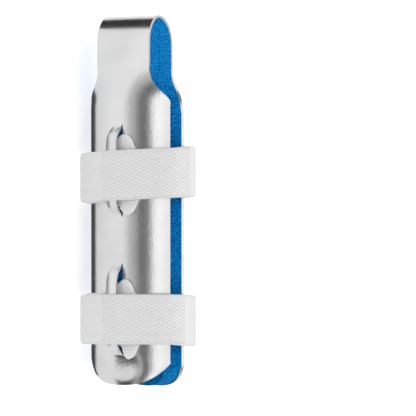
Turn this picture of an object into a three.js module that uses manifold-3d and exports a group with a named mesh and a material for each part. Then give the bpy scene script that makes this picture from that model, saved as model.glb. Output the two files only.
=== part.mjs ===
// Finger splint: a padded aluminium strip folded back on itself, with two fabric straps.
// Sizes are millimetres. X runs from the fold to the open ends, Y from the bridge side to the hole side,
// and Z across the width. The splint lies on the flat side spans of its straps.

import * as THREE from "three";
import { mergeVertices } from "three/addons/utils/BufferGeometryUtils.js";
import Module from "manifold-3d";

const wasm = await Module();
wasm.setup();

const radians = Math.PI / 180;

// The metal strip
const length = 93.6;
const bridgeSideShort = 1.5;
const metal = 0.7;
const bodyDepth = 18;
const shellRadius = 15;
const shellWidth = 23.7;
const neckWidth = 15.3;
const endDrop = 5.6;
const endPower = 2.5;

// The fold
const foldDepth = 11.2;
const foldShift = -1;
const foldFrontReach = 4.9;
const foldFrontDrop = 6.8;
const foldBackDrop = 7.5;
const shoulderStart = 12.4;
const shoulderLength = 8.2;
const bendStart = 11;
const bridgeSideBend = 12;
const holeSideBend = 13.5;

// The foam
const foam = 3.8;
const foamOverhang = 0.3;
const neckLoft = 1.06;
const apexLoft = 0.58;
const seam = 0.3;

// The holes
const holeDiameter = 6.35;
const holePitch = 17.4;
const holeCount = 4;
const firstHole = 31.6;

// The lanced bridges
const bridgeLength = 22.8;
const bridgeWidth = 2.5;
const bridgeRise = 3.2;
const bridgeRamp = 5;
const slit = 0.3;
const bridgeRoot = 0.5;
const upperBridge = 38.7;
const lowerBridge = 73.2;

// The straps
const loopWidth = 12.8;
const loopTail = 9;
const loopTailWidth = 11.4;
const hookWidth = 12.4;
const tapeThickness = 1.05;
const headHeight = 20.2;
const headLength = 12.8;
const headReach = 5.8;
const headLean = 2.5;
const slack = 1.4;
const upperShift = 1.2;
const lowerShift = 2.5;
const upperSlope = 3;
const lowerSlope = 2.1;
const upperPitch = 0;
const lowerPitch = 3.5;
const upperLoopSkew = 1;
const lowerLoopSkew = -1.4;
const loopEnd = 58;
const upperLap = 91;
const lowerLap = 84;
const hookEnd = 152;

// Half the angle that a shell's section spans, from its width.
const shellAngle = Math.asin(shellWidth / 2 / shellRadius);
const shellHalf = shellRadius * shellAngle;

// Shares along the shoulder, of the way from the neck's width and flatness to the shell's.
const shoulderRows = [
  { along: 0, wide: 0, turn: 0 },
  { along: 0.1, wide: 0.005, turn: 0.13 },
  { along: 0.22, wide: 0.03, turn: 0.33 },
  { along: 0.4, wide: 0.12, turn: 0.55 },
  { along: 0.52, wide: 0.27, turn: 0.68 },
  { along: 0.62, wide: 0.45, turn: 0.78 },
  { along: 0.72, wide: 0.67, turn: 0.87 },
  { along: 0.8, wide: 0.84, turn: 0.93 },
  { along: 0.88, wide: 0.95, turn: 0.97 },
  { along: 1, wide: 1, turn: 1 },
];

// Shares along a bridge's ramp, of its rise.
const rampRows = [
  { along: 0, rise: 0 },
  { along: 0.1, rise: 0.07 },
  { along: 0.3, rise: 0.42 },
  { along: 0.5, rise: 0.78 },
  { along: 0.7, rise: 0.91 },
  { along: 1, rise: 0.97 },
];

// The strap's head, from its tip: how far its end is rounded, and how far it flares from the tape's
// width to the head's height on the fold side and on the open side.
const upperHeadRows = [
  { along: 0, round: 0.3, fold: 1, open: 1 },
  { along: 0.02, round: 0.5, fold: 1, open: 1 },
  { along: 0.055, round: 0.71, fold: 1, open: 1 },
  { along: 0.125, round: 0.9, fold: 1, open: 1 },
  { along: 0.2, round: 0.98, fold: 1, open: 1 },
  { along: 0.27, round: 1, fold: 1, open: 1 },
  { along: 0.34, round: 1, fold: 0.86, open: 0.76 },
  { along: 0.4, round: 1, fold: 0.66, open: 0.4 },
  { along: 0.5, round: 1, fold: 0.49, open: 0.3 },
  { along: 0.62, round: 1, fold: 0.3, open: 0.24 },
  { along: 0.78, round: 1, fold: 0.11, open: 0.11 },
  { along: 1, round: 1, fold: 0, open: 0 },
];
const lowerHeadRows = [
  { along: 0, round: 0.3, fold: 1, open: 1 },
  { along: 0.02, round: 0.5, fold: 1, open: 1 },
  { along: 0.055, round: 0.71, fold: 1, open: 1 },
  { along: 0.125, round: 0.9, fold: 1, open: 0.97 },
  { along: 0.2, round: 0.98, fold: 1, open: 0.95 },
  { along: 0.27, round: 1, fold: 1, open: 0.9 },
  { along: 0.32, round: 1, fold: 0.9, open: 0.6 },
  { along: 0.365, round: 1, fold: 0.76, open: 0.05 },
  { along: 0.5, round: 1, fold: 0.49, open: 0 },
  { along: 0.62, round: 1, fold: 0.3, open: 0 },
  { along: 0.78, round: 1, fold: 0.11, open: 0 },
  { along: 1, round: 1, fold: 0, open: 0 },
];

const mix = (a, b, share) => a + (b - a) * share;

// The value of a column at a share along its table.
function column(rows, key, along) {
  let k = 0;
  while (k < rows.length - 2 && rows[k + 1].along < along) k++;
  const a = rows[k];
  const b = rows[k + 1];
  const share = Math.min(Math.max((along - a.along) / (b.along - a.along), 0), 1);
  return mix(a[key], b[key], share);
}

// A closed solid between two grids of points.
function solid(rows, columns, top, under) {
  const points = [];
  for (const side of [top, under])
    for (let i = 0; i < rows; i++)
      for (let j = 0; j < columns; j++) points.push(...side(i, j));
  const at = (side, i, j) => side * rows * columns + i * columns + j;
  const faces = [];
  const quad = (a, b, c, d) => faces.push(a, b, c, a, c, d);
  for (let i = 0; i < rows - 1; i++)
    for (let j = 0; j < columns - 1; j++) {
      quad(at(0, i, j), at(0, i + 1, j), at(0, i + 1, j + 1), at(0, i, j + 1));
      quad(at(1, i, j + 1), at(1, i + 1, j + 1), at(1, i + 1, j), at(1, i, j));
    }
  const last = columns - 1;
  for (let i = 0; i < rows - 1; i++) {
    quad(at(1, i, 0), at(1, i + 1, 0), at(0, i + 1, 0), at(0, i, 0));
    quad(at(0, i, last), at(0, i + 1, last), at(1, i + 1, last), at(1, i, last));
  }
  for (let j = 0; j < columns - 1; j++) {
    quad(at(0, 0, j), at(0, 0, j + 1), at(1, 0, j + 1), at(1, 0, j));
    quad(at(1, rows - 1, j), at(1, rows - 1, j + 1), at(0, rows - 1, j + 1), at(0, rows - 1, j));
  }
  const build = () =>
    new wasm.Manifold(
      new wasm.Mesh({
        numProp: 3,
        vertProperties: new Float32Array(points),
        triVerts: new Uint32Array(faces),
      }),
    );
  let made = build();
  if (made.volume() < 0) {
    for (let k = 0; k < faces.length; k += 3) [faces[k + 1], faces[k + 2]] = [faces[k + 2], faces[k + 1]];
    made = build();
  }
  return made;
}

// The stations along the strip, from the bridge side's open end over the fold to the hole side's.
function stripStations() {
  const side = (sign) => {
    const neckY = foldShift + (sign * foldDepth) / 2;
    const shellY = (sign * bodyDepth) / 2;
    const end = length - (sign < 0 ? bridgeSideShort : 0);
    const bendLength = sign < 0 ? bridgeSideBend : holeSideBend;
    const bendEnd = bendStart + bendLength;
    const marks = shoulderRows.map((row) => shoulderStart + row.along * shoulderLength);
    marks.push(...[0, 0.86, 1].map((share) => bendStart + share * bendLength));
    marks.sort((a, b) => a - b);
    const list = marks.map((x) => {
      const share = Math.min(Math.max((x - bendStart) / bendLength, 0), 1);
      const bend = share * share * (3 - 2 * share);
      const along = (x - shoulderStart) / shoulderLength;
      const chord = mix(neckWidth / 2, shellWidth / 2, column(shoulderRows, "wide", along));
      const turn = column(shoulderRows, "turn", along) / shellRadius;
      return {
        x,
        y: mix(neckY, shellY, bend),
        half: turn ? Math.asin(chord * turn) / turn : chord,
        turn,
        loft: mix(neckLoft, 1, bend),
        end: 0,
      };
    });
    const shell = (x, share) => ({
      x,
      y: shellY,
      half: shellHalf,
      turn: 1 / shellRadius,
      loft: 1,
      end: share,
    });
    list.push(shell(mix(bendEnd, end, 0.05), 0));
    list.push(shell(end - endDrop * 1.25, 0));
    list.push(shell(end - endDrop * 0.5, 0.5));
    list.push(shell(end, 1));
    return list;
  };
  const apexY = foldShift - foldDepth / 2 + foldFrontReach;
  const arc = [];
  const count = 8;
  for (let k = 0; k <= count; k++) {
    const a = (k / count) * 90 * radians;
    const loft = mix(neckLoft, apexLoft, Math.sin(a) ** 2);
    arc.push([foldFrontDrop * (1 - Math.sin(a)), apexY - foldFrontReach * Math.cos(a), loft]);
  }
  for (let k = 1; k <= count; k++) {
    const a = (k / count) * 90 * radians;
    const loft = mix(apexLoft, neckLoft, Math.sin(a) ** 2);
    arc.push([foldBackDrop * (1 - Math.cos(a)), apexY + (foldDepth - foldFrontReach) * Math.sin(a), loft]);
  }
  const fold = arc.map(([x, y, loft]) => ({ x, y, half: neckWidth / 2, turn: 0, loft, end: 0 }));
  const stations = [...side(-1).reverse(), ...fold, ...side(1)];
  // The outward normal at each station, from its neighbours.
  stations.forEach((station, i) => {
    const a = stations[Math.max(i - 1, 0)];
    const b = stations[Math.min(i + 1, stations.length - 1)];
    const size = Math.hypot(b.x - a.x, b.y - a.y);
    station.nx = -(b.y - a.y) / size;
    station.ny = (b.x - a.x) / size;
  });
  return stations;
}

const stations = stripStations();

// A point of the strip: its station, its share of the half width, its depth below the outer face.
function stripPoint(station, share, depth, overhang) {
  const { turn, half, nx, ny } = station;
  const q = share * half;
  const angle = q * turn;
  const across = turn ? Math.sin(angle) / turn : q;
  const inward = turn ? (1 - Math.cos(angle)) / turn : 0;
  const reach = station.end * overhang - station.end * endDrop * Math.abs(share) ** endPower;
  const back = inward + depth * Math.cos(angle);
  return [station.x + reach - nx * back, station.y - ny * back, across - depth * Math.sin(angle)];
}

const stripColumns = 16;
const shareOf = (j) => (2 * j) / stripColumns - 1;

function stripLayer(from, to, overhang) {
  return solid(
    stations.length,
    stripColumns + 1,
    (i, j) => stripPoint(stations[i], shareOf(j), from(stations[i]), overhang),
    (i, j) => stripPoint(stations[i], shareOf(j), to(stations[i]), overhang),
  );
}

// How far a bridge stands out at a distance from its foot.
function bridgeHeight(distance) {
  if (distance <= 0) return 0;
  if (distance >= bridgeRamp) {
    const share = Math.min((distance - bridgeRamp) / (bridgeLength / 2 - bridgeRamp), 1);
    return bridgeRise * mix(0.97, 1, share);
  }
  return bridgeRise * column(rampRows, "rise", distance / bridgeRamp);
}

function bridge(centre) {
  const half = bridgeLength / 2;
  const marks = [-bridgeRoot, ...rampRows.map((row) => row.along * bridgeRamp)];
  const list = [...marks.map((m) => m - half), 0, ...marks.map((m) => half - m).reverse()];
  const shellY = -bodyDepth / 2;
  const point = (at, j, depth) => {
    const angle = (((j - 1) * bridgeWidth) / 2) / shellRadius;
    const radius = shellRadius - depth;
    const out = bridgeHeight(half - Math.abs(at));
    return [centre + at, shellY + shellRadius - out - radius * Math.cos(angle), radius * Math.sin(angle)];
  };
  const inset = metal / 10;
  return solid(
    list.length,
    3,
    (i, j) => point(list[i], j, inset),
    (i, j) => point(list[i], j, metal - inset),
  );
}

function box(x0, x1, y0, y1, z0, z1) {
  return wasm.Manifold.cube([x1 - x0, y1 - y0, z1 - z0]).translate([x0, y0, z0]);
}

function splintBody() {
  let body = stripLayer(() => 0, () => metal, 0);
  const shellY = bodyDepth / 2;
  for (let k = 0; k < holeCount; k++) {
    const drill = wasm.Manifold.cylinder(metal * 4, holeDiameter / 2, holeDiameter / 2, 28)
      .rotate([90, 0, 0])
      .translate([firstHole + k * holePitch, shellY + metal, 0]);
    body = body.subtract(drill);
  }
  const slotHalf = bridgeWidth / 2 + slit;
  for (const centre of [upperBridge, lowerBridge]) {
    const from = centre - bridgeLength / 2;
    const to = centre + bridgeLength / 2;
    body = body.subtract(box(from, to, -shellY - metal, -shellY + 2 * metal, -slotHalf, slotHalf));
    body = body.add(bridge(centre));
  }
  return body;
}

function foamLining() {
  const start = metal + seam;
  return stripLayer(() => start, (station) => start + foam * station.loft, foamOverhang);
}

// The outline of both shells in the plane across the strip, as points [y, z].
function shellOutline() {
  const points = [];
  for (const sign of [-1, 1])
    for (let k = -12; k <= 12; k++) {
      const angle = (k / 12) * shellAngle;
      points.push([sign * (bodyDepth / 2 - shellRadius * (1 - Math.cos(angle))), shellRadius * Math.sin(angle)]);
    }
  return points;
}

// How far a taut band round the points stands from the middle, at an angle from the bridge side.
function bandReach(points, offset, angle) {
  let best = Infinity;
  for (let degrees = 0; degrees < 360; degrees += 2) {
    const t = degrees * radians;
    const facing = Math.cos(t - angle);
    if (facing < 0.15) continue;
    const away = [-Math.cos(t), Math.sin(t)];
    let support = -Infinity;
    for (const p of points) support = Math.max(support, p[0] * away[0] + p[1] * away[1]);
    best = Math.min(best, (support + offset) / facing);
  }
  return best;
}

function bandPoint(points, offset, angle) {
  const reach = bandReach(points, offset, angle);
  return [-reach * Math.cos(angle), reach * Math.sin(angle)];
}

// A band through the angles: the length run so far, and inner and outer points at its two edges.
function band(points, offset, angles, lean) {
  let run = 0;
  let before = null;
  return angles.map((angle) => {
    const middle = bandPoint(points, offset, angle);
    if (before) run += Math.hypot(middle[0] - before[0], middle[1] - before[1]);
    before = middle;
    const edges = [-1, 1].map((edge) => {
      const at = angle + edge * lean(run);
      return { inner: bandPoint(points, offset, at), outer: bandPoint(points, offset + tapeThickness, at) };
    });
    return { run, edges };
  });
}

// A strap's own place: its middle along the splint, its slope across and its pitch from front to back.
const straps = {
  upper: {
    centre: upperBridge + upperShift,
    slope: upperSlope,
    skew: upperLoopSkew,
    pitch: upperPitch,
    head: upperHeadRows,
    lap: upperLap,
  },
  lower: {
    centre: lowerBridge + lowerShift,
    slope: lowerSlope,
    skew: lowerLoopSkew,
    pitch: lowerPitch,
    head: lowerHeadRows,
    lap: lowerLap,
  },
};

function tape(rows, strap, slope, halves) {
  const across = Math.tan(slope * radians);
  const deep = Math.tan(strap.pitch * radians);
  const point = (row, edge, side) => {
    const [y, z] = row.edges[edge][side];
    const half = halves(row.run)[edge];
    return [strap.centre - z * across + (y + bodyDepth / 2) * deep + (edge ? half : -half), y, z];
  };
  return solid(
    rows.length,
    2,
    (i, j) => point(rows[i], j, "outer"),
    (i, j) => point(rows[i], j, "inner"),
  );
}

const steps = (from, to, count) => Array.from({ length: count + 1 }, (_, k) => mix(from, to, k / count) * radians);

// The angles start at the middle of the bridge side and turn down round the lower side.
function loopRows() {
  const outline = shellOutline();
  const edge = shellWidth / 2;
  const rim = bodyDepth / 2 - shellRadius * (1 - Math.cos(shellAngle));
  outline.push([-rim * 0.2, edge + slack * 0.7], [rim * 0.7, edge + slack], [rim * 1.7, edge + slack * 0.4]);
  const faceY = bodyDepth / 2 + seam;
  const tip = Math.atan2(headReach, faceY - headReach ** 2 / 2 / shellRadius) / radians;
  const head = steps(tip, -36, 22);
  const rest = steps(-36, loopEnd - 360, 58).slice(1);
  return band(outline, seam, [...head, ...rest], (run) => headLean * radians * Math.max(1 - run / headLength, 0));
}

function loopTape(strap) {
  const rows = loopRows();
  const whole = rows[rows.length - 1].run;
  return tape(rows, strap, strap.slope + strap.skew, (run) => {
    const along = Math.min(run / headLength, 1);
    const round = column(strap.head, "round", along);
    const tail = Math.max(1 - (whole - run) / loopTail, 0);
    const half = mix(loopWidth, loopTailWidth, tail) / 2;
    return ["fold", "open"].map((key) => round * mix(half, headHeight / 2, column(strap.head, key, along)));
  });
}

function hookTape(strap) {
  const below = loopRows().flatMap((row) => row.edges.map((edge) => edge.outer));
  const crown = bodyDepth / 2 + bridgeRise;
  below.push([-crown, -bridgeWidth / 2], [-crown, bridgeWidth / 2]);
  const angles = steps(strap.lap, -hookEnd, 62);
  const half = hookWidth / 2;
  return tape(band(below, seam, angles, () => 0), strap, strap.slope, () => [half, half]);
}

// Each solid as a mesh, named for its node.
const bodies = {
  splint_body: [splintBody(), 0xc9ccd0],
  foam_lining: [foamLining(), 0x0b6bad],
  upper_loop_tape: [loopTape(straps.upper), 0xdadada],
  upper_hook_tape: [hookTape(straps.upper), 0xe2e2e2],
  lower_loop_tape: [loopTape(straps.lower), 0xdadada],
  lower_hook_tape: [hookTape(straps.lower), 0xe2e2e2],
};

const splint = new THREE.Group();
for (const [name, [body, colour]] of Object.entries(bodies)) {
  const mesh = body.getMesh();
  const position = new Float32Array(mesh.numVert * 3);
  for (let i = 0; i < mesh.numVert; i++)
    position.set(mesh.vertProperties.subarray(i * mesh.numProp, i * mesh.numProp + 3), i * 3);
  const raw = new THREE.BufferGeometry()
    .setAttribute("position", new THREE.BufferAttribute(position, 3))
    .setIndex(new THREE.BufferAttribute(new Uint32Array(mesh.triVerts), 1));
  const made = new THREE.Mesh(mergeVertices(raw, 1e-4), new THREE.MeshStandardMaterial({ color: colour }));
  made.name = name;
  splint.add(made);
}

// The origin is under the middle of the splint, on the surface that its straps lie on.
const bounds = new THREE.Box3().setFromObject(splint);
const middle = bounds.getCenter(new THREE.Vector3());
for (const mesh of splint.children) mesh.geometry.translate(-middle.x, -middle.y, -bounds.min.z);

export default splint;
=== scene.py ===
"""Finger splint: a padded aluminium strip folded back on itself, closed with two white fabric straps."""

import math

import bmesh
import bpy
import numpy as np
from bpy.props import FloatProperty, FloatVectorProperty, PointerProperty
from bpy.types import Operator, Panel, PropertyGroup
from mathutils import Matrix, Vector


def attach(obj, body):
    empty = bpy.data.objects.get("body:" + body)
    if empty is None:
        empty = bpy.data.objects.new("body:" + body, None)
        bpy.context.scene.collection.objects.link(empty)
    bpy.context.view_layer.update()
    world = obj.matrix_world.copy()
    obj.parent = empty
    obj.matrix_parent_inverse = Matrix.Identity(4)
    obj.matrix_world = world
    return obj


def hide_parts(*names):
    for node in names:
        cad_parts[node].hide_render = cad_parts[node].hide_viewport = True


bl_info = {
    "name": "Finger Splint",
    "version": (1, 0, 0),
    "blender": (4, 5, 0),
    "location": "View3D > Sidebar > Splint",
    "description": "Builds a padded aluminium finger splint with two straps on its packed frame",
    "category": "Object",
}

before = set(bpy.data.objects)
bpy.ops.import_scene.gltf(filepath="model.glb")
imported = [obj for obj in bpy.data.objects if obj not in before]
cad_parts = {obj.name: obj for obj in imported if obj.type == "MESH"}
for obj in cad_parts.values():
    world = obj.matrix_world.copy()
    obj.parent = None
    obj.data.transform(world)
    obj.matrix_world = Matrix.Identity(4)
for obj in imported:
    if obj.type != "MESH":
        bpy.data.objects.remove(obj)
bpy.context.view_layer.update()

# Sizes in millimetres, along the strip from its fold, in depth from its middle, and across. What differs
# between the bridge side and the hole side is kept by side, -1 and 1.

# The frame's origin, in those directions
ORIGIN = (46.95, -1.4015, -14.55)

# The strip
LENGTH = {-1: 92.1, 1: 93.6}
METAL = 0.7
BODY_DEPTH = 18.0
SHELL_RADIUS = 15.0
SHELL_WIDTH = 23.7
SHELL_ANGLE = math.asin(SHELL_WIDTH / 2 / SHELL_RADIUS)
SHELL_HALF = SHELL_RADIUS * SHELL_ANGLE
NECK_WIDTH = 15.3

# Its fold and neck
FOLD_DEPTH = 11.2
FOLD_SHIFT = -1.0
FOLD_REACH = {-1: 4.9, 1: 6.3}
FOLD_DROP = {-1: 6.8, 1: 7.5}
FOLD_STEPS = {-1: 14, 1: 16}
FOLD_APEX = FOLD_SHIFT - FOLD_DEPTH / 2 + FOLD_REACH[-1]
BEND_START = 11.0
BEND_LENGTH = {-1: 12.0, 1: 13.5}
SHOULDER_START = 12.4
SHOULDER_LENGTH = 8.2
# Along the shoulder: shares of the way from the neck to the shell, in width and in curve
SHOULDER = {
    "along": [0, 0.1, 0.22, 0.4, 0.52, 0.62, 0.72, 0.8, 0.88, 1],
    "wide": [0, 0.005, 0.03, 0.12, 0.27, 0.45, 0.67, 0.84, 0.95, 1],
    "turn": [0, 0.13, 0.33, 0.55, 0.68, 0.78, 0.87, 0.93, 0.97, 1],
}

# Its open ends, which are rounded and curl in a little, and the dent by the lower head
END_TAPER = 12.0
END_DROP = 5.6
END_POWER = 2.5
CURL = 0.38
CURL_LENGTH = 2.4
DENT = {"x": 87.6, "across": 2.0, "long": 5.2, "wide": 5.6, "depth": 0.62}

# Its holes, each in a square patch of the mesh, with rings at shares of the way from the patch to the hole
HOLE_RADIUS = 3.175
HOLES = [31.6 + 17.4 * k for k in range(4)]
PATCH = 4.2
RINGS = (0.45, 0.8, 1)

# Its bridges. They rise over a ramp at each end, are hollowed along the middle where they stand high
# enough, and have a slit on each side. One slit starts a little later.
BRIDGES = [38.7, 73.2]
BRIDGE_LENGTH = 22.8
BRIDGE_HALF = 1.25
BRIDGE_STEP = 0.25
BRIDGE_RISE = 3.2
BRIDGE_RAMP = 5.0
RAMP = {"along": [0, 0.04, 0.12, 0.3, 0.5, 0.7, 1], "rise": [0, 0.02, 0.15, 0.48, 0.78, 0.91, 0.97]}
HOLLOW = 0.42
HOLLOW_FULL = 1.5
SLIT = 0.18
SLIT_LAG = 0.7
FOOT_MARKS = (0, 0.3, SLIT_LAG)
BRIDGE_SHARE = BRIDGE_HALF / SHELL_HALF
SLIT_SHARE = (BRIDGE_HALF + SLIT) / SHELL_HALF

# The foam: how thick it is, how far it swells into the holes and is pressed in under the bridges, and how
# near its two sides come inside the fold
FOAM = 3.8
FOAM_GAP = 0.02
FOAM_SHORT = 0.35
NECK_LOFT = 1.06
APEX_LOFT = 0.58
SWELL = 0.32
SWELL_INSET = 0.15
PRESSED = {"long": BRIDGE_LENGTH / 2 + 1, "wide": 3.2, "depth": 1.7}
MEETING_GAP = 0.06
MEETING_LENGTH = 7.0

# The straps
SEAM = 0.3
TAPE = 1.05
FULL_EDGE = 0.62
CRISP_EDGE = 0.14
LOOP_WIDTH = 12.8
LOOP_TAIL = 9.0
LOOP_TAIL_WIDTH = 11.4
HOOK_WIDTH = 12.4
HEAD_HEIGHT = 20.2
HEAD_LENGTH = 12.8
HEAD_REACH = 5.8
HEAD_LEAN = 2.5
# Over the open sides of the shells: shares of the shell edges' depth, and of how far the loop tape stands off
SLACK = 1.4
SLACK_POINTS = ((-0.2, 0.7), (0.7, 1), (1.7, 0.4))
# In degrees: where the tapes end, and the steps in which a taut band is worked out. Then how square a line
# has to face a ray to stop it, and the points that a band's run and what lies under it are taken at.
LOOP_END = 58.0
HOOK_END = 152.0
RAY_STEP = 0.5
LINE_STEP = 2
LEAST_FACING = 0.15
LOOP_POINTS = 400
HOOK_POINTS = 320
LAID_POINTS = 120
OUTLINE_STEPS = 12
# Steps of the tapes' meshes, along them and over their faces
FACE_STEPS = 12
TAPE_STEP = 0.6
HEAD_FINE = 3.0
ROUNDED = (0, 0.06, 0.16, 0.3)
END_ROUND = ROUNDED[-1]
END_THINNING = 0.45
# Along each head: shares of the way from the tip, and of the head's extra width towards fold and open ends
HEAD_ALONG = [0, 0.02, 0.055, 0.125, 0.2, 0.27, 0.34, 0.4, 0.5, 0.62, 0.78, 1]
LOWER_ALONG = [0, 0.02, 0.055, 0.125, 0.2, 0.27, 0.32, 0.365, 0.5, 0.62, 0.78, 1]
HEAD_ROUND = [0.3, 0.5, 0.71, 0.9, 0.98, 1, 1, 1, 1, 1, 1, 1]
STRAPS = {
    "upper": {
        "centre": 39.9,
        "slope": 3.0,
        "skew": 1.0,
        "pitch": 0.0,
        "lap": 91.0,
        "along": HEAD_ALONG,
        "fold": [1, 1, 1, 1, 1, 1, 0.93, 0.76, 0.44, 0.16, 0.05, 0],
        "open": [1, 1, 1, 1, 1, 1, 0.76, 0.4, 0.3, 0.24, 0.11, 0],
    },
    "lower": {
        "centre": 75.7,
        "slope": 2.1,
        "skew": -1.4,
        "pitch": 3.5,
        "lap": 84.0,
        "along": LOWER_ALONG,
        "fold": [1, 1, 1, 1, 1, 1, 0.9, 0.76, 0.49, 0.3, 0.11, 0],
        "open": [1, 1, 1, 0.97, 0.95, 0.9, 0.6, 0.05, 0, 0, 0, 0],
    },
}

BEVEL_SEGMENTS = 3
SHARP_ANGLE = math.radians(55)
TINY = 1e-6


# Helpers


def place(x, y, z):
    """A point in the frame's metres, from millimetres along, in depth and across."""
    return ((x - ORIGIN[0]) / 1000, (y - ORIGIN[1]) / 1000, (z - ORIGIN[2]) / 1000)


def mix(a, b, share):
    return a + (b - a) * share


def clamp(value, low=0.0, high=1.0):
    return min(max(value, low), high)


def eased(share):
    """A share from 0 to 1 that starts and ends gently."""
    return share * share * (3 - 2 * share)


def smooth_table(xs, ys, x):
    """A smooth curve through a table's values that never overshoots them."""
    if x <= xs[0]:
        return ys[0]
    if x >= xs[-1]:
        return ys[-1]
    k = max(i for i in range(len(xs) - 1) if xs[i] <= x)
    steps = [b - a for a, b in zip(xs, xs[1:])]
    slopes = [(b - a) / step for a, b, step in zip(ys, ys[1:], steps)]

    def lean(i):
        if i == 0:
            return slopes[0]
        if i == len(slopes):
            return slopes[-1]
        a, b = slopes[i - 1], slopes[i]
        return 0.0 if a * b <= 0 else 2 * a * b / (a + b)

    h = steps[k]
    t = (x - xs[k]) / h
    a, b = lean(k), lean(k + 1)
    rise = ys[k + 1] - ys[k]
    return ys[k] + t * (h * a + t * (3 * rise - h * (2 * a + b) + t * (h * (a + b) - 2 * rise)))


def spread(marks, step):
    """Evenly filled values between marks, no further apart than a step."""
    values = []
    for a, b in zip(marks, marks[1:]):
        count = max(1, math.ceil((b - a) / step - TINY))
        values += [a + (b - a) * k / count for k in range(count)]
    return values + [marks[-1]]


def mirrored(values):
    """Values from 0 upwards, with the same below 0."""
    return [-value for value in reversed(values[1:])] + values


def hex_colour(text):
    """An sRGB hex colour as linear red, green, blue and one."""
    parts = [int(text[k : k + 2], 16) / 255 for k in (1, 3, 5)]
    linear = [c / 12.92 if c <= 0.04045 else ((c + 0.055) / 1.055) ** 2.4 for c in parts]
    return (*linear, 1.0)


def add_node(tree, kind, at=(0, 0), values=None, stops=(), **settings):
    """Adds a node, with its settings, its inputs' values or links by name or index, and a ramp's stops."""
    node = tree.nodes.new(kind)
    node.location = at
    for key, value in settings.items():
        setattr(node, key, value)
    for key, value in (values or {}).items():
        socket = node.inputs[key]
        if isinstance(value, bpy.types.NodeSocket):
            tree.links.new(value, socket)
        else:
            socket.default_value = value
    for k, (position, colour) in enumerate(stops):
        elements = node.color_ramp.elements
        element = elements[k] if k < len(elements) else elements.new(position)
        element.position = position
        element.color = colour
    return node


def new_material(name):
    material = bpy.data.materials.new(name)
    material.use_nodes = True
    material.node_tree.nodes.clear()
    return material, material.node_tree


def object_from(name, vertices, faces):
    mesh = bpy.data.meshes.new(name)
    mesh.from_pydata(vertices, [], faces)
    mesh.validate()
    piece = bpy.data.objects.new(name, mesh)
    bpy.context.scene.collection.objects.link(piece)
    return piece


def face_outwards(piece):
    body = bmesh.new()
    body.from_mesh(piece.data)
    bmesh.ops.recalc_face_normals(body, faces=body.faces)
    body.to_mesh(piece.data)
    body.free()
    piece.data.shade_smooth()


def apply_modifiers(piece):
    """Turns the piece with its modifiers into a plain mesh."""
    graph = bpy.context.evaluated_depsgraph_get()
    graph.update()
    finished = piece.evaluated_get(graph)
    made = bpy.data.meshes.new_from_object(finished, preserve_all_data_layers=True, depsgraph=graph)
    old = piece.data
    piece.modifiers.clear()
    piece.data = made
    bpy.data.meshes.remove(old)
    made.name = piece.name


def round_edges(piece, width, harden=False):
    """Rounds the piece's sharp edges, by a width in metres."""
    bevel = piece.modifiers.new("edges", "BEVEL")
    bevel.width = width
    bevel.segments = BEVEL_SEGMENTS
    bevel.limit_method = "ANGLE"
    bevel.angle_limit = SHARP_ANGLE
    bevel.harden_normals = harden
    apply_modifiers(piece)


def finish_piece(piece, material, node):
    piece.data.materials.clear()
    piece.data.materials.append(material)
    for face in piece.data.polygons:
        face.material_index = 0
    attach(piece, "root")
    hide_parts(node)


# The strip's shape


def side_station(side, x):
    """The strip's section at a distance from the fold: depth, half width, curve, foam share and normal."""
    neck = FOLD_SHIFT + side * FOLD_DEPTH / 2
    shell = side * BODY_DEPTH / 2
    share = clamp((x - BEND_START) / BEND_LENGTH[side])
    slope = (shell - neck) * 6 * share * (1 - share) / BEND_LENGTH[side]
    along = clamp((x - SHOULDER_START) / SHOULDER_LENGTH)
    wide = smooth_table(SHOULDER["along"], SHOULDER["wide"], along)
    turn = smooth_table(SHOULDER["along"], SHOULDER["turn"], along) / SHELL_RADIUS
    chord = mix(NECK_WIDTH / 2, SHELL_WIDTH / 2, wide)
    size = math.hypot(1, slope)
    return {
        "x": x,
        "y": mix(neck, shell, eased(share)),
        "half": math.asin(chord * turn) / turn if turn > TINY else chord,
        "turn": turn,
        "loft": mix(NECK_LOFT, 1, eased(share)),
        "normal": (-slope * side / size, side / size),
        "side": side,
    }


def fold_station(side, degrees):
    """The strip's section on the fold, at an angle from the neck to the top."""
    a = math.radians(degrees)
    reach, drop = FOLD_REACH[side], FOLD_DROP[side]
    nx, ny = -math.sin(a) / drop, side * math.cos(a) / reach
    size = math.hypot(nx, ny)
    return {
        "x": drop * (1 - math.sin(a)),
        "y": FOLD_APEX + side * reach * math.cos(a),
        "half": NECK_WIDTH / 2,
        "turn": 0.0,
        "loft": mix(NECK_LOFT, APEX_LOFT, math.sin(a) ** 2),
        "normal": (nx / size, ny / size),
        "side": side,
    }


def pressed_in(station, q):
    """How far the strip is curled in at its open ends, and dented by the lower strap's head."""
    x, side = station["x"], station["side"]
    depth = CURL * clamp((x - LENGTH[side] + CURL_LENGTH) / CURL_LENGTH) ** 2
    if side < 0:
        far = ((x - DENT["x"]) / DENT["long"]) ** 2 + ((q - DENT["across"]) / DENT["wide"]) ** 2
        depth += DENT["depth"] * clamp(1 - far) ** 2
    return depth


def strip_point(station, share, depth, overhang):
    """A point of the strip: its share of the half width, and its depth below the outer face."""
    turn, side = station["turn"], station["side"]
    q = share * station["half"]
    angle = q * turn
    across = math.sin(angle) / turn if turn > TINY else q
    inward = (1 - math.cos(angle)) / turn if turn > TINY else 0.0
    nx, ny = station["normal"]
    back = inward + depth * math.cos(angle) + pressed_in(station, q)
    # The open ends are rounded: the corners are drawn back more and more towards the end.
    end = clamp((station["x"] - LENGTH[side] + END_TAPER) / END_TAPER)
    drawn = END_DROP * abs(share) ** END_POWER * end**2
    x = station["x"] + overhang * end**6 - drawn - nx * back
    return place(x, station["y"] - ny * back, across - depth * math.sin(angle))


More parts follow.
